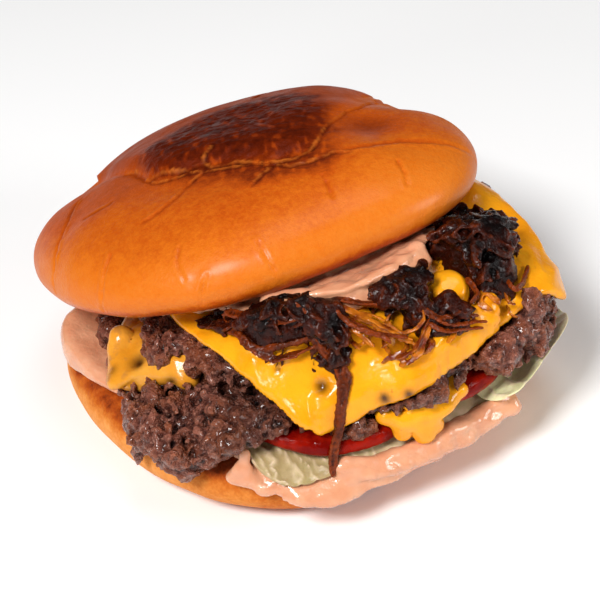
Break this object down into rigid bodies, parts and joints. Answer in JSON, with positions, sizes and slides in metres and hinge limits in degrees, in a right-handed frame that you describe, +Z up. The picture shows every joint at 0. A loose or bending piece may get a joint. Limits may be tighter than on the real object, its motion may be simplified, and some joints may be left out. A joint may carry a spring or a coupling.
{
  "type": "double cheeseburger",
  "caption": "Double cheeseburger on a soft bun: stacked patties with melted cheese, browned onions, tomato, lettuce and pink sauce, the crown tipped back to show the fillings.",
  "frame": {"origin": "the middle of the whole burger's box, seen from above, at the height of the surface it stands on", "axes": "+Z up, -Y towards the open front where the fillings show, +X to the right seen from the front"},
  "size_m": [0.1242, 0.127, 0.0682],
  "materials": {
    "crust": "glossy egg-washed bread crust, browned on top",
    "pale_crust": "soft pale bread crust with a toasted cut edge",
    "sauce": "creamy pink sauce, glossy",
    "leaf": "crisp pale lettuce, slightly wet",
    "tomato": "wet red tomato flesh and skin",
    "meat": "coarse browned minced beef, greasy",
    "cheese": "melted processed cheese, smooth and glossy",
    "onion": "dark sticky browned onion"
  },
  "bodies": {
    "root": {"bun_bottom": "pale_crust", "bun_top": "crust", "sauce_bottom": "sauce", "sauce_top": "sauce", "lettuce_front": "leaf", "lettuce_right": "leaf", "tomato_left": "tomato", "tomato_right": "tomato", "patty_bottom": "meat", "patty_top": "meat", "cheese_bottom": "cheese", "cheese_top": "cheese", "onions": "onion"}
  },
  "joints": []
}
